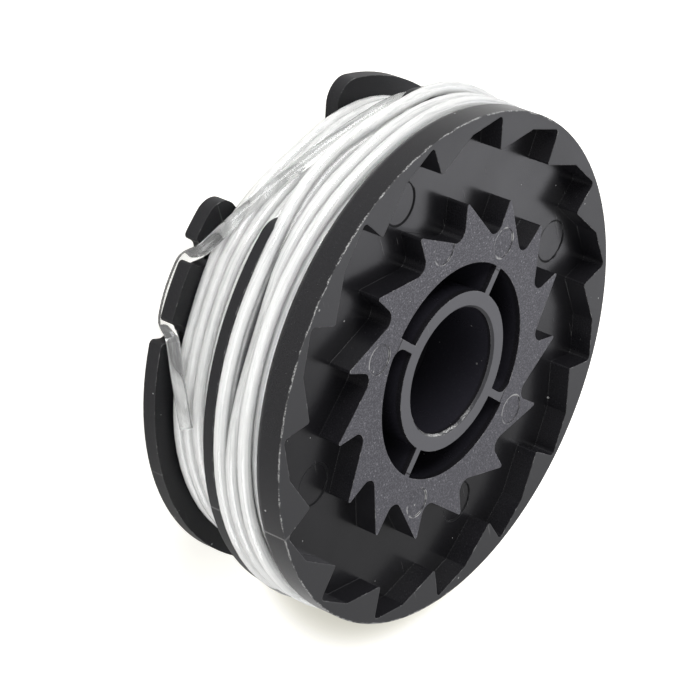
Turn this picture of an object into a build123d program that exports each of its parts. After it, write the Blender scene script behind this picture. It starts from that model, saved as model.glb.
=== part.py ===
from build123d import *

import math
import os

# Twin-line trimmer spool, wound. It stands on its bearing ring, with the toothed flange up.
# The axis of the spool is Z, the ring's lower face is Z = 0, and the flanges' cut-outs face +Y and -Y.
# Sizes are millimetres and degrees.

# Flanges and drum
flange_d = 65.0
flange_t = 3.8
rim_round = 1.0
divider_d = 65.0
divider_t = 1.4
rear_flange_d = 62.8
rear_flange_t = 1.8
drum_d = 32.0
drum_wall = 2.2
front_gap = 6.1
rear_gap = 8.5

# Hub tube, the ribs that carry it in the spring pocket, and bearing ring
bore_d = 16.2
bore_chamfer = 0.3
hub_wall = 2.1
pocket_floor_t = 2.6
bearing_ring_h = 2.2
rib_angle = 34.5
rib_count = 4
rib_t = 1.0
rib_root_round = 1.6

# Ratchet teeth: an inward ring on the rim and an outward star, half a pitch apart
tooth_count = 15
rim_tooth_angle = 8.5
channel_depth = 3.0
rim_wall = 0.5
rim_tooth_h = 4.4
rim_tooth_knee_h = 1.45
rim_tooth_tip_round = 0.3
rim_tooth_root_round = 0.6
star_stand = 0.6
star_tooth_h = 5.45
star_tip_round = 0.25
star_root_round = 1.4

# Shares of the tooth pitch from a rim tooth's tip to its root and to the knee of its slope
rim_tooth_root_share = 1 / 12
rim_tooth_knee_share = 0.52

# Cut-outs that the divider and the rear flange share, on both sides of the axis
cutout_angle = 90.0
cutout_width_angle = 41.0
cutout_floor_stand = 6.0
cutout_lobe_round = 3.0
cutout_floor_round = 2.0
side_count = 2

# Line, its windings and its anchor holes in the drum
line_d = 1.6
winding_clearance = 0.1
front_winding_inset = 0.5
rear_winding_flat_drop = 3.1
anchor_clearance = 0.4
front_anchor_angle = 20.0
rear_anchor_angle = 200.0

# Line slots in the rear flange, and the lifted tab between the two slots of a side
slot_clearance = 0.9
slot_depth = 2.8
slot_lip_round = 0.6
first_slot_offset = 35.05
second_slot_offset = 53.5
tab_lift = 0.8

# Ejector marks: on the channel floor as inset from the rim teeth and angle, on the star as stand and angle
ejector_depth = 0.12
floor_mark_d = 5.4
floor_marks = ((2.5, 0.0), (2.3, 90.0), (4.0, 179.0), (4.3, 268.0))
star_mark_d = 3.8
star_marks = ((0.0, 38.6), (1.0, 81.3), (-0.2, 134.7), (0.2, 230.8), (0.2, 302.4))

# Free ends of the line, as radius, angle and height above the rear flange's upper face
rear_end_route = (
    (29.6, 47.5, 7.4),
    (30.5, 57.5, 7.3),
    (31.7, 68.0, 6.9),
    (30.8, 123.35, 1.5),
    (29.9, 126.4, -2.35),
    (29.5, 134.3, -2.5),
    (29.6, 142.15, -2.35),
    (29.9, 145.2, 1.5),
    (30.0, 154.3, 2.5),
    (29.9, 164.0, 3.8),
)
front_end_route = (
    (31.2, 254.0, 8.9),
    (30.9, 264.5, 7.6),
    (30.8, 303.35, 1.5),
    (29.9, 306.4, -2.35),
    (29.5, 314.3, -2.5),
    (29.6, 322.15, -2.35),
    (29.9, 325.2, 1.5),
    (30.0, 334.3, 2.5),
    (29.9, 344.0, 3.8),
)
bend_share = 0.45

# Heights that follow
rear_flange_z = bearing_ring_h
rear_gap_z = rear_flange_z + rear_flange_t
divider_z = rear_gap_z + rear_gap
front_gap_z = divider_z + divider_t
flange_z = front_gap_z + front_gap
top_z = flange_z + flange_t
channel_z = top_z - channel_depth

# Radii, widths and angles that follow
pocket_r = drum_d / 2 - drum_wall
hub_r = bore_d / 2 + hub_wall
rim_tooth_root_r = flange_d / 2 - rim_wall
rim_tooth_knee_r = rim_tooth_root_r - rim_tooth_knee_h
rim_tooth_tip_r = rim_tooth_root_r - rim_tooth_h
star_root_r = drum_d / 2 + star_stand
star_tip_r = star_root_r + star_tooth_h
cutout_floor_r = drum_d / 2 + cutout_floor_stand
slot_w = line_d + slot_clearance
slot_floor_r = rear_flange_d / 2 - slot_depth
front_winding_r = min(flange_d, divider_d) / 2 - front_winding_inset
rear_winding_r = slot_floor_r - winding_clearance
rear_winding_flat_r = rear_winding_r - rear_winding_flat_drop
turn_relief = line_d / 4
tooth_pitch = 360.0 / tooth_count
side_pitch = 360.0 / side_count

# How far a cutting tool stands past the face it cuts
over = 1.0

UP = (Align.CENTER, Align.CENTER, Align.MIN)


def polar(radius, angle):
    """Point in the plane at this radius and angle."""
    return Vector(radius * math.cos(math.radians(angle)), radius * math.sin(math.radians(angle)))


def corners_at(face, radius):
    """Corners of a flat face that lie at this radius from the axis."""
    return [v for v in face.vertices() if abs(math.hypot(v.X, v.Y) - radius) < 0.01]


def disc(radius, height, z):
    """Upright cylinder that stands at height z."""
    return Pos(0, 0, z) * Cylinder(radius, height, align=UP)


def tooth_outline(corners, first_tip):
    """Closed outline of a ring of teeth, from the corners of one tooth as radius and angle past its tip."""
    points = []
    for tooth in range(tooth_count):
        tip_angle = first_tip + tooth * tooth_pitch
        points += [polar(radius, tip_angle + lag) for radius, lag in corners]
    return make_face(Polyline(*points, close=True))


def rim_tooth_face():
    """Space inside the inward teeth: a steep flank, then a long slope with a knee."""
    corners = (
        (rim_tooth_tip_r, 0.0),
        (rim_tooth_root_r, rim_tooth_root_share * tooth_pitch),
        (rim_tooth_knee_r, rim_tooth_knee_share * tooth_pitch),
    )
    face = tooth_outline(corners, rim_tooth_angle)
    face = fillet(corners_at(face, rim_tooth_root_r), rim_tooth_root_round)
    return fillet(corners_at(face, rim_tooth_tip_r), rim_tooth_tip_round)


def star_face():
    """Star of outward teeth: a radial flank, a round root and a straight slope."""
    corners = ((star_tip_r, 0.0), (star_root_r, 0.0))
    face = tooth_outline(corners, rim_tooth_angle + tooth_pitch / 2)
    face = fillet(corners_at(face, star_root_r), star_root_round)
    return fillet(corners_at(face, star_tip_r), star_tip_round)


def ejector_marks(places, diameter, z):
    """Shallow round marks that the ejector pins leave in a face at height z, from radius and angle."""
    marks = Part()
    for radius, angle in places:
        spot = polar(radius, angle)
        marks += Pos(spot.X, spot.Y, 0) * disc(diameter / 2, ejector_depth, z - ejector_depth)
    return marks


def toothed_flange():
    """Disc with a rounded underside edge and the channel that leaves both rings of teeth."""
    flange = disc(flange_d / 2, flange_t, flange_z)
    flange = fillet(flange.edges().sort_by(Axis.Z)[0], rim_round)
    flange -= extrude(Pos(0, 0, channel_z) * rim_tooth_face(), channel_depth + over)
    floor_places = [(rim_tooth_tip_r - inset, angle) for inset, angle in floor_marks]
    flange -= ejector_marks(floor_places, floor_mark_d, channel_z)
    return flange + extrude(Pos(0, 0, channel_z) * star_face(), channel_depth)


def side_angles():
    """Directions of the cut-outs."""
    return [cutout_angle + side * side_pitch for side in range(side_count)]


def lobed_face(diameter):
    """Flange outline with the shared cut-outs, their lobe ends rounded."""
    face = Circle(diameter / 2)
    for angle in side_angles():
        edges = [polar(diameter, angle + side * cutout_width_angle / 2) for side in (-1, 1)]
        wedge = make_face(Polyline((0, 0), *edges, close=True))
        face -= wedge - Circle(cutout_floor_r)
    face = fillet(corners_at(face, diameter / 2), cutout_lobe_round)
    return fillet(corners_at(face, cutout_floor_r), cutout_floor_round)


def slot_face(angle):
    """Open slot with a round floor, cut in from the rear flange's edge."""
    centre_r = slot_floor_r + slot_w / 2
    length = rear_flange_d / 2 - centre_r + over
    slot = Pos(centre_r + length / 2, 0) * Rectangle(length, slot_w) + Pos(centre_r, 0) * Circle(slot_w / 2)
    return Rot(0, 0, angle) * slot


def is_slot_lip(vertex):
    """Whether a corner of the rear flange's outline belongs to a line slot."""
    past = (math.degrees(math.atan2(vertex.Y, vertex.X)) - cutout_angle) % side_pitch
    half = math.degrees(slot_w / rear_flange_d)
    return any(abs(abs(past - offset) - half) < 0.5 for offset in (first_slot_offset, second_slot_offset))


def tab_sector(angle):
    """Block over the tab between a side's two slots."""
    ends = [polar(rear_flange_d, angle + offset) for offset in (first_slot_offset, second_slot_offset)]
    wedge = make_face(Polyline((0, 0), *ends, close=True))
    return extrude(Pos(0, 0, rear_flange_z) * (wedge - Circle(slot_floor_r)), rear_flange_t)


def rear_flange():
    """Lobed flange with two line slots on each side and the tab between them lifted."""
    face = lobed_face(rear_flange_d)
    for angle in side_angles():
        face -= slot_face(angle + first_slot_offset) + slot_face(angle + second_slot_offset)
    lips = [v for v in corners_at(face, rear_flange_d / 2) if is_slot_lip(v)]
    face = fillet(lips, slot_lip_round)
    flange = extrude(Pos(0, 0, rear_flange_z) * face, rear_flange_t)
    for angle in side_angles():
        sector = tab_sector(angle)
        tab = flange & sector
        flange = flange - sector + Pos(0, 0, tab_lift) * tab
    return flange


def pocket_face():
    """Spring pocket round the hub tube, parted by the ribs. Every second rib has one rounded root."""
    face = Circle(pocket_r) - Circle(hub_r)
    rounded = []
    for index in range(rib_count):
        angle = rib_angle + index * 360 / rib_count
        face -= Rot(0, 0, angle) * Pos((hub_r + pocket_r) / 2, 0) * Rectangle(drum_d / 2, rib_t)
        if index % 2:
            rounded.append(polar(pocket_r, angle + math.degrees(rib_t / 2 / pocket_r)))
    roots = [face.vertices().sort_by_distance(root)[0] for root in rounded]
    return fillet(roots, rib_root_round)


def bore_edge():
    """Cone that breaks the upper edge of the bore."""
    cone = Cone(bore_d / 2, bore_d / 2 + bore_chamfer, bore_chamfer, align=UP)
    return Pos(0, 0, top_z - bore_chamfer) * cone


def anchor_hole(angle, z):
    """Radial hole through the drum wall that holds the inner end of a line."""
    radius = (line_d + anchor_clearance) / 2
    hole = Cylinder(radius, drum_wall + 2 * over, rotation=(0, 90, 0))
    return Rot(0, 0, angle) * Pos(drum_d / 2 - drum_wall / 2, 0, z) * hole


def spool_body():
    """The whole moulding."""
    body = disc(drum_d / 2, top_z, 0) + toothed_flange()
    body += extrude(Pos(0, 0, divider_z) * lobed_face(divider_d), divider_t)
    body += rear_flange()
    star_places = [(star_root_r + stand, angle) for stand, angle in star_marks]
    body -= ejector_marks(star_places, star_mark_d, top_z)
    body -= extrude(Pos(0, 0, pocket_floor_t) * pocket_face(), top_z)
    body -= disc(bore_d / 2, top_z + 2 * over, -over) + bore_edge()
    body -= anchor_hole(front_anchor_angle, front_gap_z + front_gap / 2)
    body -= anchor_hole(rear_anchor_angle, rear_gap_z + rear_gap / 2)
    return body


def winding(outer, z, width):
    """One line's turns as a closed solid, with the outer turns as rounded ridges."""
    low, high = z + winding_clearance, z + width - winding_clearance
    inner, valley = drum_d / 2 + winding_clearance, outer - turn_relief
    turns = round((high - low) / line_d)
    pitch = (high - low) / turns
    ridges = []
    for turn in range(turns):
        foot = low + turn * pitch
        ridges.append(ThreePointArc((valley, 0, foot), (outer, 0, foot + pitch / 2), (valley, 0, foot + pitch)))
    back = Polyline((valley, 0, high), (inner, 0, high), (inner, 0, low), (valley, 0, low))
    return revolve(make_face(Curve() + ridges + back), Axis.Z)


def flattened(solid, flat_r):
    """A winding with its turns drawn straight across the cut-outs."""
    for angle in side_angles():
        block = Box(rear_flange_d, rear_flange_d, top_z, align=(Align.MIN, Align.CENTER, Align.MIN))
        solid -= Rot(0, 0, angle) * Pos(flat_r, 0, 0) * block
    return solid


def line_end(name, route):
    """Free end of a line as a tube: straight runs with the largest tangent arcs that fit between them."""
    points = [polar(radius, angle) + Vector(0, 0, rear_gap_z + height) for radius, angle, height in route]
    radii = []
    for before, corner, after in zip(points, points[1:], points[2:]):
        turn = math.radians((corner - before).get_angle(after - corner))
        radii.append(bend_share * min((corner - before).length, (after - corner).length) / math.tan(turn / 2))
    path = FilletPolyline(*points, radius=radii)
    tube = sweep(Plane(path @ 0, z_dir=path % 0) * Circle(line_d / 2), path=path)
    print(name, "length", round(path.length, 1), "bend radii", [round(r, 1) for r in radii])
    print(name, "volume over section times length", round(tube.volume / (path.length * math.pi * line_d**2 / 4), 4))
    return tube


def save(name, solid):
    """Writes one node."""
    export_step(solid, f"parts/{name}.step")


os.makedirs("parts", exist_ok=True)
save("spool_body", spool_body())
save("front_line_winding", winding(front_winding_r, front_gap_z, front_gap))
save("rear_line_winding", flattened(winding(rear_winding_r, rear_gap_z, rear_gap), rear_winding_flat_r))
save("front_line_end", line_end("front_line_end", front_end_route))
save("rear_line_end", line_end("rear_line_end", rear_end_route))
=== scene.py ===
import math

import bpy
from mathutils import Matrix, Vector


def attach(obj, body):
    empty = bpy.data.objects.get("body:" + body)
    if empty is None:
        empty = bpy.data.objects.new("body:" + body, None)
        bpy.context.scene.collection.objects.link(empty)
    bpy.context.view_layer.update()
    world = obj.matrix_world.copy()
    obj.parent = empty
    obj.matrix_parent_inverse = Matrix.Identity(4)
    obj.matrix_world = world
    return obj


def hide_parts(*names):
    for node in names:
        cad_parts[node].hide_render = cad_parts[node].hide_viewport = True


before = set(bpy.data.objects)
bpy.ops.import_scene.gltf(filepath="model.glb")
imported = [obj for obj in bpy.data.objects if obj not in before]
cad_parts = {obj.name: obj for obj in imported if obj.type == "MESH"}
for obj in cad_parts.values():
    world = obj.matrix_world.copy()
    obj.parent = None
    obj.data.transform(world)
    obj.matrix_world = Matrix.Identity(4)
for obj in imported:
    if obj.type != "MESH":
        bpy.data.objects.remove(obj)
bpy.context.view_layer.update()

# Looks for the wound trimmer spool, in the CAD frame. Blender's lengths are metres, and those below are
# millimetres where nothing else is said.
MM = 0.001

# Sizes that part.py uses too
drum_r = 16.0
top_z = 23.8
rear_gap_z = 4.0
line_d = 1.6
cutout_angle = 90.0
cutout_pitch = 180.0
floor_mark_d = 5.4
floor_marks = ((25.1, 0.0), (25.3, 90.0), (23.6, 179.0), (23.3, 268.0))
star_mark_d = 3.8
star_marks = ((16.6, 38.6), (17.6, 81.3), (16.4, 134.7), (16.8, 230.8), (16.8, 302.4))
front_anchor = (20.0, 16.95)
rear_anchor = (200.0, 8.25)

# White core inside each line: its diameter in the buried turns, in the outer ones and at its end, the
# points by which it stops short of the winding's end, and the points over which it thins out there
core_d = 1.5
outer_core_d = 1.2
least_core_d = 0.1
front_core_stop = 0
rear_core_stop = 2
core_fade = 4

# Free ends, as radius, angle and height above the rear flange. They follow part.py's routes, with points
# moved to the photograph
rear_end_route = (
    (30.0, 47.5, 7.5),
    (30.8, 57.5, 7.6),
    (31.2, 66.0, 7.6),
    (30.1, 74.5, 6.8),
    (29.3, 82.0, 6.0),
    (28.6, 92.5, 4.75),
    (28.5, 104.5, 3.3),
    (29.1, 112.5, 2.3),
)
front_end_route = (
    (31.2, 254.0, 8.9),
    (30.6, 264.5, 7.4),
    (29.9, 275.0, 5.6),
    (29.6, 288.0, 3.4),
)

# Way of both ends through a side's two slots, as radius, angle past the cut-out's middle and height
slot_route = (
    (29.9, 30.5, 1.2),
    (30.0, 34.2, 0.4),
    (29.9, 36.6, -1.6),
    (29.5, 39.5, -2.0),
    (29.3, 45.0, -2.25),
    (29.4, 50.0, -2.0),
    (29.8, 52.2, -1.5),
    (30.4, 53.6, 0.4),
    (30.3, 57.0, 1.2),
    (30.0, 63.5, 2.1),
    (30.2, 73.8, 3.85),
)

# Windings: heights of a layer's turns, and the outermost turns as radius and height, with how far both
# shift at the gap between two turns and where the turn beside the divider climbs over its shoulder
front_levels = (14.75, 17.15, 19.15)
front_layers = 10
front_outer = (
    (32.0, 18.15, 0.0, 0.0, 0.0, 0.0),
    (31.9, 16.3, -1.0, 0.75, 0.0, 0.3),
    (32.1, 14.72, 0.0, 0.0, 0.8, -0.17),
)
rear_levels = (5.4, 6.95, 8.5, 10.05, 11.55)
rear_layers = 7
rear_outer = (
    (28.4, 5.1, 0.0, 0.6, 0.0, 0.0),
    (28.6, 6.75, 0.0, 0.4, 0.0, 0.0),
    (28.5, 8.35, 0.0, 0.3, 0.0, 0.0),
    (28.4, 9.95, 0.0, 0.2, 0.0, 0.0),
    (28.4, 11.55, 0.0, 0.0, 0.0, 0.0),
    (30.0, 11.5, 0.0, 0.0, 0.0, 0.0),
)
first_layer_r = drum_r + line_d / 2 + 0.1
front_layer_step = 1.51
rear_layer_step = 1.63
gap_angle = 138.0
gap_half_angle = 27.0
climb_angle = 58.0
climb_half_angle = 26.0

# Where the line steps from one turn to the next, on the side away from the camera
step_angle = 307.0
step_share = 0.12
points_per_turn = 24
half_step = math.pi / points_per_turn

# Across a cut-out the turns run straighter, and those next to the divider bulge into its gap
straight_half_angle = 21.0
front_straight_share = 0.45
rear_straight_share = 1.0
front_bulge_height = 14.72
bulge_offset = 6.0
bulge_half_angle = 19.0
bulge_reach = 1.6
bulge = 2.2
wander = 0.1

# Black moulding: colours of its zones, and of what lies on them. The lighter top faces are partly painted
# sheen, the grain's glints are painted, the low faces that look up carry painted shade and the inside of
# the hub is painted lighter
channel_black = (0.006, 0.006, 0.0075, 1)
blotch_black = (0.010, 0.0095, 0.011, 1)
ring_line_and_low_shade_black = (0.003, 0.003, 0.004, 1)
inside_painted_light_black = (0.014, 0.0135, 0.018, 1)
rim_finish_and_sheen_grey = (0.026, 0.026, 0.028, 1)
hub_finish_and_sheen_grey = (0.098, 0.098, 0.107, 1)
star_finish_and_sheen_grey = (0.052, 0.051, 0.061, 1)
glint_grey = (0.28, 0.275, 0.3, 1)
worn_grey = (0.55, 0.55, 0.54, 1)
parting_angle = 178.5

# Line: its white core, the painted shade on the core deep in the gap, and the clear nylon
core_grey = (0.72, 0.73, 0.73, 1)
core_white = (0.98, 0.98, 0.97, 1)
painted_gap_shade = (0.04, 0.04, 0.045, 1)
clear_cool = (0.95, 0.96, 0.96, 1)
clear_warm = (0.99, 0.99, 0.985, 1)
nylon_ior = 1.53

# Stage: the floor away from the spool and in a painted shadow beside it, as paint and as the glow that the
# camera sees (the painted shadow has darker, warmer paint and less glow), the spot on the floor behind the
# toothed flange about which that painted shadow lies, and the world's level
floor_half_side = 3.0
floor_paint = (0.7, 0.7, 0.7, 1)
painted_shadow_paint = (0.56, 0.545, 0.46, 1)
floor_glow = (0.95, 0.936, 0.884, 1)
painted_shadow_glow = (0.22, 0.217, 0.203, 1)
painted_shadow_spot = (36.8, -51.9)
painted_shadow_angle = 245.0
world_level = 0.36
glossy_share = 0.22
lamp_aim_z = 12.0

# Camera at the photograph's place, with angles in degrees
camera_azimuth = 127.626
camera_elevation = 32.795
camera_roll = 112.125
camera_aim = (-15.806, 16.813, top_z)
camera_distance = 317.497
camera_lens = 144.02
camera_sensor = 36.0


def polar(radius, angle, height):
    """Point from radius, angle and height, in metres."""
    turn = math.radians(angle)
    return Vector((radius * math.cos(turn), radius * math.sin(turn), height)) * MM


def ease(value):
    """Smooth step from 0 to 1."""
    value = min(max(value, 0.0), 1.0)
    return value * value * (3.0 - 2.0 * value)


def between(a, b, share):
    """Value at this share of the way from a to b."""
    return a + (b - a) * share


def cutout_offset(angle):
    """Angle from the middle of the nearest cut-out."""
    return (angle - cutout_angle + cutout_pitch / 2) % cutout_pitch - cutout_pitch / 2


def seats(levels, layers, layer_step, outer, last_up):
    """Seat of each turn: radius, height and how far both shift at the gap and at the climb."""
    places = []
    for layer in range(layers):
        up = (layers - 1 - layer) % 2 == (0 if last_up else 1)
        order = levels if up else levels[::-1]
        places += [(first_layer_r + layer * layer_step, height, 0.0, 0.0, 0.0, 0.0) for height in order]
    return places + list(outer)


def window(offset, half_angle):
    """Smooth hump that is 1 in the middle and 0 at this half angle and past it."""
    if abs(offset) >= half_angle:
        return 0.0
    return math.cos(math.radians(90 * offset / half_angle)) ** 2


def seat_at(places, angle):
    """Radius and height of the line at this angle, eased from seat to seat at the step."""
    turns = (angle - step_angle) / 360 + 1
    index = int(turns)
    past = turns - index
    if past > 1 - step_share:
        share = ease((past - 1 + step_share) / (2 * step_share))
        pair = (index, index + 1)
    else:
        share = ease((past + step_share) / (2 * step_share))
        pair = (index - 1, index)
    first, second = [places[min(max(i, 0), len(places) - 1)] for i in pair]
    seat = [between(a, b, share) for a, b in zip(first, second)]
    radius, height, gap_out, gap_up, climb_out, climb_up = seat
    gap = window(angle % 360 - gap_angle, gap_half_angle)
    climb = window(angle % 360 - climb_angle, climb_half_angle)
    return radius + gap_out * gap + climb_out * climb, height + gap_up * gap + climb_up * climb


def wound_points(places, start, end, straight_share, bulge_height):
    """Control points of a winding from its anchor to where its free end leaves."""
    points = []
    step = 360 / points_per_turn
    outer_r = max(place[0] for place in places)
    for index in range(int((end - start) / step)):
        angle = start + index * step
        radius, height = seat_at(places, angle)
        depth = (radius - drum_r) / (outer_r - drum_r)
        offset = cutout_offset(angle)
        if abs(offset) < straight_half_angle:
            chord = math.cos(math.radians(straight_half_angle)) / math.cos(math.radians(offset))
            radius *= between(1.0, chord, straight_share * depth)
        if bulge_height:
            near = ease(1 - (height - bulge_height) / bulge_reach)
            height -= bulge * near * depth * window(offset - bulge_offset, bulge_half_angle)
        height += wander * math.sin(math.radians(angle * 0.37)) * (0.4 + 0.6 * depth)
        points.append(polar(radius / math.cos(half_step), angle, height))
    return points


def line_curve(name, points, radii):
    """One length of line as a round NURBS tube through these control points, with its radius at each."""
    data = bpy.data.curves.new(name, "CURVE")
    data.dimensions = "3D"
    data.bevel_depth = 1.0
    data.bevel_resolution = 5
    data.resolution_u = 3
    data.use_fill_caps = True
    spline = data.splines.new("NURBS")
    spline.points.add(len(points) - 1)
    for control, point, radius in zip(spline.points, points, radii):
        control.co = (*point, 1.0)
        control.radius = radius * MM
    spline.order_u = 3
    spline.use_endpoint_u = True
    obj = bpy.data.objects.new(name, data)
    bpy.context.collection.objects.link(obj)
    return obj


def wound_line(
    name,
    places,
    clear_turns,
    core_stop,
    anchor,
    cutout,
    route,
    straight_share,
    bulge_height,
):
    """A whole line: through its anchor hole, round the drum, out along its end and through the slots.

    The nylon is cloudy, so the buried turns look white and the free end looks clear: a white core inside
    the line thins from the buried turns to the outer ones and ends before the free end."""
    angle, height = anchor
    lead = [polar(drum_r - 1.4, angle, height), polar(drum_r + 0.7, angle + 1.5, height)]
    turns_end = 360 * (len(places) - 1) + route[0][1] - 9
    coil = wound_points(places, angle + 10, turns_end, straight_share, bulge_height)
    way = list(route) + [(radius, cutout + past, rise) for radius, past, rise in slot_route]
    points = lead + coil + [polar(radius, turn, rear_gap_z + rise) for radius, turn, rise in way]
    obj = line_curve(name, points, [line_d / 2] * len(points))
    buried_end = step_angle + 360 * (len(places) - clear_turns - 1)
    buried = (buried_end - angle) / 360 * points_per_turn
    core_radii = []
    for index in range(len(coil) - core_stop):
        thin = ease((index - buried) / points_per_turn + 0.5)
        fade = ease((index - len(coil) + core_stop) / core_fade + 1)
        core_radii.append(between(between(core_d, outer_core_d, thin), least_core_d, fade) / 2)
    core = line_curve(name + "_core", coil[:len(core_radii)], core_radii)
    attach(core, "root")
    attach(obj, "root")
    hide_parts(name + "_winding", name + "_end")
    return obj, core


front_places = seats(front_levels, front_layers, front_layer_step, front_outer, True)
rear_places = seats(rear_levels, rear_layers, rear_layer_step, rear_outer, False)
front_line, front_core = wound_line(
    "front_line",
    front_places,
    len(front_outer),
    front_core_stop,
    front_anchor,
    cutout_angle + cutout_pitch,
    front_end_route,
    front_straight_share,
    front_bulge_height,
)
rear_line, rear_core = wound_line(
    "rear_line",
    rear_places,
    len(rear_outer),
    rear_core_stop,
    rear_anchor,
    cutout_angle,
    rear_end_route,
    rear_straight_share,
    None,
)


class Tree:
    """Adds nodes to one node tree and joins them."""

    def __init__(self, tree):
        self.tree = tree

    def add(self, kind, inputs=None, **settings):
        node = self.tree.nodes.new(kind)
        for name, value in settings.items():
            setattr(node, name, value)
        for name, value in (inputs or {}).items():
            if isinstance(value, bpy.types.NodeSocket):
                self.tree.links.new(value, node.inputs[name])
            else:
                node.inputs[name].default_value = value
        return node

    def math(self, operation, a, b=0.0, clamp=False):
        return self.add("ShaderNodeMath", {0: a, 1: b}, operation=operation, use_clamp=clamp).outputs[0]

    def times(self, *values):
        product = values[0]
        for value in values[1:]:
            product = self.math("MULTIPLY", product, value)
        return product

    def largest(self, *values):
        top = values[0]
        for value in values[1:]:
            top = self.math("MAXIMUM", top, value)
        return top

    def distance(self, a, b):
        return self.add("ShaderNodeVectorMath", {0: a, 1: b}, operation="DISTANCE").outputs["Value"]

    def ramp(self, value, low, high):
        """0 below low and 1 above high, or the other way round where low is the larger."""
        inputs = {"Value": value, "From Min": low, "From Max": high}
        return self.add("ShaderNodeMapRange", inputs, interpolation_type="SMOOTHSTEP").outputs[0]

    def band(self, value, low, high, soft):
        """1 between low and high, with soft ends."""
        return self.times(self.ramp(value, low - soft, low), self.ramp(value, high + soft, high))

    def sector(self, angle, middle, half_angle, soft):
        """1 within this half angle of the middle, with soft ends."""
        turned = self.math("COSINE", self.math("RADIANS", self.math("SUBTRACT", angle, middle)))
        outer, inner = (math.cos(math.radians(half)) for half in (half_angle + soft, half_angle))
        return self.ramp(turned, outer, inner)

    def mix(self, share, a, b):
        return self.add("ShaderNodeMix", {0: share, 2: a, 3: b}).outputs[0]

    def colour(self, share, a, b):
        return self.add("ShaderNodeMix", {0: share, 6: a, 7: b}, data_type="RGBA").outputs[2]

    def noise(self, vector, scale, detail=2.0, roughness=0.5):
        inputs = {"Vector": vector, "Scale": scale, "Detail": detail, "Roughness": roughness}
        return self.add("ShaderNodeTexNoise", inputs).outputs[0]

    def group(self, tree):
        node = self.add("ShaderNodeGroup", node_tree=tree)
        return node.outputs


def new_group(name, outputs):
    """Empty shader group with these float outputs. Gives it, its tree helper and its output node."""
    group = bpy.data.node_groups.new(name, "ShaderNodeTree")
    for output in outputs:
        group.interface.new_socket(output, in_out="OUTPUT", socket_type="NodeSocketFloat")
    tree = Tree(group)
    return group, tree, tree.add("NodeGroupOutput")


def fill_group(tree, out, values):
    """Joins values to a group's outputs by name."""
    for name, value in values.items():
        tree.tree.links.new(value, out.inputs[name])


def places_group():
    """Where a point lies: radius and height in millimetres, angle in degrees, and how far it faces up."""
    group, tree, out = new_group("spool_places", ("Radius", "Height", "Angle", "Up"))
    where = tree.add("ShaderNodeTexCoord").outputs["Object"]
    parts = tree.add("ShaderNodeSeparateXYZ", {0: where}).outputs
    squares = [tree.times(parts[axis], parts[axis]) for axis in (0, 1)]
    radius = tree.math("SQRT", tree.math("ADD", *squares))
    angle = tree.math("DEGREES", tree.math("ARCTAN2", parts[1], parts[0]))
    normal = tree.add("ShaderNodeNewGeometry").outputs["Normal"]
    facing = tree.add("ShaderNodeSeparateXYZ", {0: normal}).outputs[2]
    values = {
        "Radius": tree.math("DIVIDE", radius, MM),
        "Height": tree.math("DIVIDE", parts[2], MM),
        "Angle": angle,
        "Up": facing,
    }
    fill_group(tree, out, values)
    return group


def surface_group():
    """Moulded surface: grain, dots for painted glints, a slower wobble, dust specks, large blotches and
    hair scratches.
    """
    names = ("Grain", "Glint dots", "Wobble", "Specks", "Blotches", "Scratches")
    group, tree, out = new_group("moulded_surface", names)
    where = tree.add("ShaderNodeTexCoord").outputs["Object"]
    grain = tree.noise(where, 5600, 2.0, 0.6)
    wobble = tree.noise(where, 420, 3.0, 0.65)
    blotches = tree.noise(where, 140, 3.0)
    fine = tree.add("ShaderNodeTexVoronoi", {"Vector": where, "Scale": 2300.0})
    fine_lucky = tree.add("ShaderNodeSeparateColor", {0: fine.outputs["Color"]}).outputs
    glint_dots = tree.times(
        tree.ramp(fine.outputs["Distance"], 0.34, 0.16),
        tree.ramp(fine_lucky[0], 0.5, 0.9),
    )
    cells = tree.add("ShaderNodeTexVoronoi", {"Vector": where, "Scale": 620.0})
    lucky = tree.add("ShaderNodeSeparateColor", {0: cells.outputs["Color"]}).outputs
    size = tree.mix(lucky[1], 0.02, 0.1)
    dots = tree.math("LESS_THAN", cells.outputs["Distance"], size)
    specks = tree.times(dots, tree.math("LESS_THAN", lucky[0], 0.25))
    stretched = tree.add(
        "ShaderNodeMapping",
        {"Vector": where, "Rotation": (0.0, 0.0, 0.6), "Scale": (1.0, 0.06, 1.0)},
    ).outputs[0]
    hairs = tree.noise(stretched, 2600, 1.0)
    scratches = tree.times(tree.ramp(hairs, 0.7, 0.78), tree.ramp(blotches, 0.5, 0.66))
    values = {
        "Grain": grain,
        "Glint dots": glint_dots,
        "Wobble": wobble,
        "Specks": specks,
        "Blotches": blotches,
        "Scratches": scratches,
    }
    fill_group(tree, out, values)
    return group


def edges_group():
    """Sharp edges: how strongly a point lies on one, and how worn it is there."""
    group, tree, out = new_group("sharp_edges", ("Edge", "Wear"))
    rounded = tree.add("ShaderNodeBevel", {"Radius": 0.16 * MM}, samples=6).outputs[0]
    flat = tree.add("ShaderNodeNewGeometry").outputs["Normal"]
    same = tree.add("ShaderNodeVectorMath", {0: rounded, 1: flat}, operation="DOT_PRODUCT")
    edge = tree.ramp(same.outputs["Value"], 0.995, 0.8)
    where = tree.add("ShaderNodeTexCoord").outputs["Object"]
    ragged = tree.ramp(tree.noise(where, 900, 4.0, 0.7), 0.5, 0.68)
    fill_group(tree, out, {"Edge": edge, "Wear": tree.times(edge, ragged)})
    return group


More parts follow.
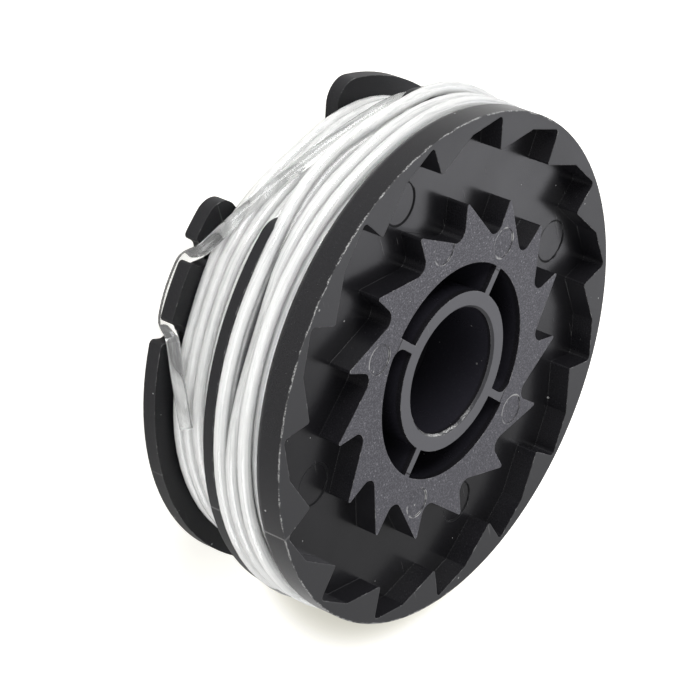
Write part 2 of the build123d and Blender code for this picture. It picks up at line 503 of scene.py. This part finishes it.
def marks_group():
    """Outlines of the round marks that the ejector pins left on the channel floor and on the star."""
    group, tree, out = new_group("ejector_marks", ("Floor rings", "Star rings"))
    where = tree.add("ShaderNodeTexCoord").outputs["Object"]
    flat = tree.add("ShaderNodeVectorMath", {0: where, 1: (1, 1, 0)}, operation="MULTIPLY").outputs[0]
    kinds = {
        "Floor rings": (floor_marks, floor_mark_d),
        "Star rings": (star_marks, star_mark_d),
    }
    values = {}
    for name, (marks, diameter) in kinds.items():
        rings = []
        for radius, angle in marks:
            away = tree.distance(flat, tuple(polar(radius, angle, 0.0)))
            off = tree.math("ABSOLUTE", tree.math("SUBTRACT", away, diameter / 2 * MM))
            rings.append(tree.ramp(off, 0.2 * MM, 0.07 * MM))
        values[name] = tree.largest(*rings)
    fill_group(tree, out, values)
    return group


def streaks_group():
    """Drawn line: streaks that run along it, and cloudy patches."""
    group, tree, out = new_group("drawn_line", ("Streaks", "Clouds"))
    place = tree.group(places)
    spread = {
        0: tree.times(place["Radius"], 4.0),
        1: tree.times(place["Height"], 4.0),
        2: tree.times(place["Angle"], 0.03),
    }
    across = tree.add("ShaderNodeCombineXYZ", spread).outputs[0]
    where = tree.add("ShaderNodeTexCoord").outputs["Object"]
    values = {
        "Streaks": tree.noise(across, 1.0, 3.0, 0.6),
        "Clouds": tree.noise(where, 110, 2.0),
    }
    fill_group(tree, out, values)
    return group


def new_material(name, *objects):
    """Empty node material on all slots of these objects."""
    material = bpy.data.materials.new(name)
    material.use_nodes = True
    material.node_tree.nodes.clear()
    for obj in objects:
        obj.data.materials.clear()
        obj.data.materials.append(material)
    return Tree(material.node_tree)


def finish_material(tree, shader):
    """Joins a shader to the material's output."""
    tree.add("ShaderNodeOutputMaterial", {"Surface": shader.outputs[0]})


def black_moulding(obj):
    """Black nylon: grained star, smooth channel floor and hub, light flash on the rim and bore edges."""
    tree = new_material("black_moulding_looks", obj)
    place = tree.group(places)
    surface = tree.group(moulded)
    edges = tree.group(sharp)
    marks = tree.group(pins)
    faces_up = tree.ramp(place["Up"], 0.6, 0.9)
    top = tree.times(tree.ramp(place["Height"], top_z - 0.5, top_z - 0.25), faces_up)
    star = tree.times(top, tree.band(place["Radius"], 13.6, 22.4, 0.2))
    hub_top = tree.times(top, tree.ramp(place["Radius"], 13.4, 13.2))
    rim_top = tree.times(top, tree.ramp(place["Radius"], 26.5, 27.0))

    wobble = tree.times(tree.math("SUBTRACT", surface["Wobble"], 0.5), 0.5)
    rim_side = tree.sector(place["Angle"], 150.0, 105.0, 15.0)
    on_rim = tree.band(tree.math("ADD", place["Radius"], wobble), 32.4, 32.5, 0.06)
    rim_flash = tree.times(on_rim, tree.ramp(place["Height"], 23.6, 23.75), rim_side)
    bore_side = tree.sector(place["Angle"], 205.0, 60.0, 25.0)
    on_bore = tree.band(tree.math("ADD", place["Radius"], wobble), 8.1, 8.32, 0.06)
    bore_flash = tree.times(on_bore, tree.ramp(place["Height"], 23.3, 23.6), bore_side)
    ragged = tree.times(tree.ramp(surface["Grain"], 0.4, 0.58), tree.ramp(surface["Wobble"], 0.4, 0.56))
    flash = tree.times(tree.largest(rim_flash, bore_flash), ragged)
    parting = tree.sector(place["Angle"], parting_angle, 0.12, 0.2)
    parting = tree.times(parting, tree.ramp(place["Radius"], 31.2, 31.6))
    scuffed = tree.times(marks["Star rings"], star, tree.ramp(surface["Wobble"], 0.46, 0.6))
    floor_ring = tree.times(
        marks["Floor rings"],
        tree.ramp(place["Height"], 21.4, 21.1),
        tree.ramp(surface["Wobble"], 0.4, 0.5),
    )

    under_top = tree.ramp(place["Height"], top_z - 0.5, top_z - 1.0)
    inside = tree.times(tree.ramp(place["Radius"], 14.0, 13.7), under_top)
    low = tree.ramp(place["Height"], 14.4, 14.1)
    outer = tree.largest(
        tree.ramp(place["Height"], 23.2, 23.5),
        tree.ramp(place["Radius"], 32.2, 32.4),
        tree.times(low, tree.ramp(place["Radius"], 29.8, 30.4)),
    )
    worn = tree.math("ADD", tree.times(edges["Edge"], 0.05), tree.times(edges["Wear"], 0.55))
    light = tree.largest(
        tree.times(worn, outer),
        tree.times(surface["Specks"], tree.mix(inside, 0.6, 0.15)),
        tree.times(surface["Scratches"], tree.ramp(place["Up"], 0.5, 0.9), 0.14),
        tree.times(flash, 0.85),
        tree.times(scuffed, 0.75),
        tree.times(parting, surface["Grain"], 0.35),
    )
    # Painted glints: grain peaks and sparse dots, mostly on the star, are painted lighter grey
    painted_sheen = tree.times(tree.ramp(surface["Grain"], 0.46, 0.66), 0.45)
    painted_glints = tree.times(tree.largest(painted_sheen, surface["Glint dots"]), tree.mix(star, 0.03, 1.0))
    black = tree.colour(surface["Blotches"], channel_black, blotch_black)
    # Painted shade: the low faces that look up, down between the flanges under the turns, get a darker
    # black; the same black draws the floor's ejector ring outlines
    black = tree.colour(tree.times(low, faces_up), black, ring_line_and_low_shade_black)
    # Painted sheen, partly the matte finish: the rim, hub and star tops are lighter grey than the walls
    # and channel
    black = tree.colour(rim_top, black, rim_finish_and_sheen_grey)
    # Painted light: the inside of the hub, bore and pocket, is painted a lighter black than the channel,
    # against its deep shade
    black = tree.colour(inside, black, inside_painted_light_black)
    black = tree.colour(hub_top, black, hub_finish_and_sheen_grey)
    black = tree.colour(star, black, star_finish_and_sheen_grey)
    black = tree.colour(tree.times(painted_glints, 0.75), black, glint_grey)
    black = tree.colour(floor_ring, black, ring_line_and_low_shade_black)
    base = tree.colour(light, black, worn_grey)
    rough = tree.mix(tree.largest(star, hub_top), 0.24, 0.45)
    rough = tree.mix(rim_top, rough, 0.36)
    rough = tree.mix(low, rough, 0.45)
    uneven = tree.times(tree.math("SUBTRACT", surface["Blotches"], 0.5), 0.12)
    rough = tree.math("ADD", rough, uneven)
    rough = tree.mix(tree.largest(light, floor_ring), rough, 0.75)
    relief = tree.times(surface["Grain"], tree.mix(star, 0.1, 1.0))
    soft = tree.add("ShaderNodeBevel", {"Radius": 0.14 * MM}, samples=6).outputs[0]
    bump = tree.add(
        "ShaderNodeBump",
        {"Strength": 0.5, "Distance": 0.04 * MM, "Height": relief, "Normal": soft},
    ).outputs[0]
    shader = tree.add(
        "ShaderNodeBsdfPrincipled",
        {"Base Color": base, "Roughness": rough, "IOR": 1.37, "Normal": bump},
    )
    finish_material(tree, shader)


def white_core(*objects):
    """White of the wound turns, which the clear line over it shows."""
    tree = new_material("white_core_looks", *objects)
    drawn = tree.group(streaks)
    white = tree.times(tree.ramp(drawn["Streaks"], 0.33, 0.58), tree.mix(drawn["Clouds"], 0.75, 1.0))
    base = tree.colour(white, core_grey, core_white)
    place = tree.group(places)
    # Painted shade: the core is darkened deep in the gap between the outer turns
    in_gap = tree.times(
        tree.ramp(place["Radius"], 31.2, 30.9),
        tree.band(place["Height"], 13.9, 15.8, 0.2),
        tree.sector(place["Angle"], gap_angle, 16.0, 12.0),
    )
    base = tree.colour(in_gap, base, painted_gap_shade)
    rough = tree.mix(drawn["Clouds"], 0.5, 0.7)
    constants = {
        "IOR": nylon_ior,
        "Subsurface Weight": 1.0,
        "Subsurface Radius": (1.0, 1.0, 1.0),
        "Subsurface Scale": 2.0 * MM,
    }
    shader = tree.add("ShaderNodeBsdfPrincipled", {"Base Color": base, "Roughness": rough, **constants})
    finish_material(tree, shader)


def nylon_line(*objects):
    """Clear line with streaks along it."""
    tree = new_material("nylon_line_looks", *objects)
    drawn = tree.group(streaks)
    base = tree.colour(drawn["Clouds"], clear_cool, clear_warm)
    rough = tree.mix(drawn["Streaks"], 0.05, 0.16)
    shader = tree.add(
        "ShaderNodeBsdfPrincipled",
        {"Base Color": base, "Roughness": rough, "IOR": nylon_ior, "Transmission Weight": 0.94},
    )
    finish_material(tree, shader)


places = places_group()
moulded = surface_group()
sharp = edges_group()
pins = marks_group()
streaks = streaks_group()
black_moulding(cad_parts["spool_body"])
nylon_line(front_line, rear_line)
white_core(front_core, rear_core)


def white_seen(tree):
    """How much of the white background a ray sees: all for the camera and through the clear line."""
    path = tree.add("ShaderNodeLightPath").outputs
    glossy = tree.times(path["Is Glossy Ray"], glossy_share)
    seen = tree.math("ADD", path["Is Camera Ray"], glossy)
    return tree.math("ADD", seen, path["Is Transmission Ray"], clamp=True)


def stage_floor():
    """White floor that keeps a soft shadow, with a painted shadow beside the spool: darker paint and less
    glow in a patch there.
    """
    data = bpy.data.meshes.new("floor")
    side = floor_half_side
    corners = [(-side, -side, 0), (side, -side, 0), (side, side, 0), (-side, side, 0)]
    data.from_pydata(corners, [], [(0, 1, 2, 3)])
    floor = bpy.data.objects.new("floor", data)
    bpy.context.collection.objects.link(floor)
    tree = new_material("white_floor", floor)
    place = tree.group(places)
    where = tree.add("ShaderNodeTexCoord").outputs["Object"]
    # Painted shadow: near the spot behind the toothed flange, on the side where the shadow falls, the
    # floor gets darker, warmer paint and less glow
    away = tree.distance(where, tuple(polar(*painted_shadow_spot, 0.0)))
    around = tree.times(tree.ramp(place["Radius"], 56.0, 34.0), 0.4)
    below = tree.largest(tree.ramp(away, 45.0 * MM, 36.5 * MM), around)
    outside = tree.ramp(place["Radius"], 22.0, 31.0)
    near = tree.times(below, outside, tree.sector(place["Angle"], painted_shadow_angle, 25.0, 30.0))
    paint = tree.add("ShaderNodeBsdfPrincipled", {
        "Base Color": tree.colour(near, floor_paint, painted_shadow_paint),
        "Emission Color": tree.colour(near, floor_glow, painted_shadow_glow),
        "Emission Strength": white_seen(tree),
        "Roughness": 1.0,
        "Specular IOR Level": 0.0,
    })
    finish_material(tree, paint)


def stage_world():
    """Even grey light that the camera, and a ray through the clear line, sees as white."""
    world = bpy.data.worlds.new("studio")
    bpy.context.scene.world = world
    world.use_nodes = True
    world.node_tree.nodes.clear()
    tree = Tree(world.node_tree)
    strength = tree.mix(white_seen(tree), world_level, 1.0)
    light = tree.add("ShaderNodeBackground", {"Color": (1, 1, 1, 1), "Strength": strength})
    tree.add("ShaderNodeOutputWorld", {"Surface": light.outputs[0]})


def from_angles(azimuth, elevation, distance):
    """Offset in this direction, in metres."""
    flat = math.cos(math.radians(elevation))
    x, y = math.cos(math.radians(azimuth)) * flat, math.sin(math.radians(azimuth)) * flat
    return Vector((x, y, math.sin(math.radians(elevation)))) * distance


def softbox(name, azimuth, elevation, distance, width, depth, brightness, colour=(1, 1, 1)):
    """Soft lamp that faces the spool, in metres. Brightness is how bright its surface looks."""
    data = bpy.data.lights.new(name, "AREA")
    data.shape = "RECTANGLE"
    data.size, data.size_y = width, depth
    data.color = colour
    data.energy = brightness * math.pi * width * depth
    lamp = bpy.data.objects.new(name, data)
    bpy.context.collection.objects.link(lamp)
    away = from_angles(azimuth, elevation, distance)
    lamp.location = away + Vector((0, 0, lamp_aim_z * MM))
    lamp.rotation_euler = away.to_track_quat("Z", "Y").to_euler()


def photo_camera():
    """Camera at the photograph's place, rolled about its axis as the spool lies in the photograph."""
    data = bpy.data.cameras.new("camera")
    data.sensor_width = camera_sensor
    data.lens = camera_lens
    camera = bpy.data.objects.new("camera", data)
    bpy.context.collection.objects.link(camera)
    turn = math.radians(camera_azimuth)
    back = from_angles(camera_azimuth, camera_elevation, 1.0)
    right = Vector((-math.sin(turn), math.cos(turn), 0))
    level = Matrix((right, back.cross(right), back)).transposed()
    rolled = level @ Matrix.Rotation(math.radians(camera_roll), 3, "Z")
    place = Vector(camera_aim) * MM + back * camera_distance * MM
    camera.matrix_world = Matrix.Translation(place) @ rolled.to_4x4()
    bpy.context.scene.camera = camera


stage_floor()
stage_world()
softbox("key", 75, 20, 0.6, 0.5, 0.35, 7.0)
softbox("fill", 150, 22, 0.6, 0.5, 0.4, 2.1)
softbox("bounce", 215, 12, 0.6, 0.5, 0.3, 3.8)
softbox("sheen", -26, 42, 0.7, 0.5, 0.4, 2.0, (0.94, 0.94, 1.0))
photo_camera()
bpy.context.scene.view_settings.view_transform = "Standard"

bpy.context.view_layer.update()
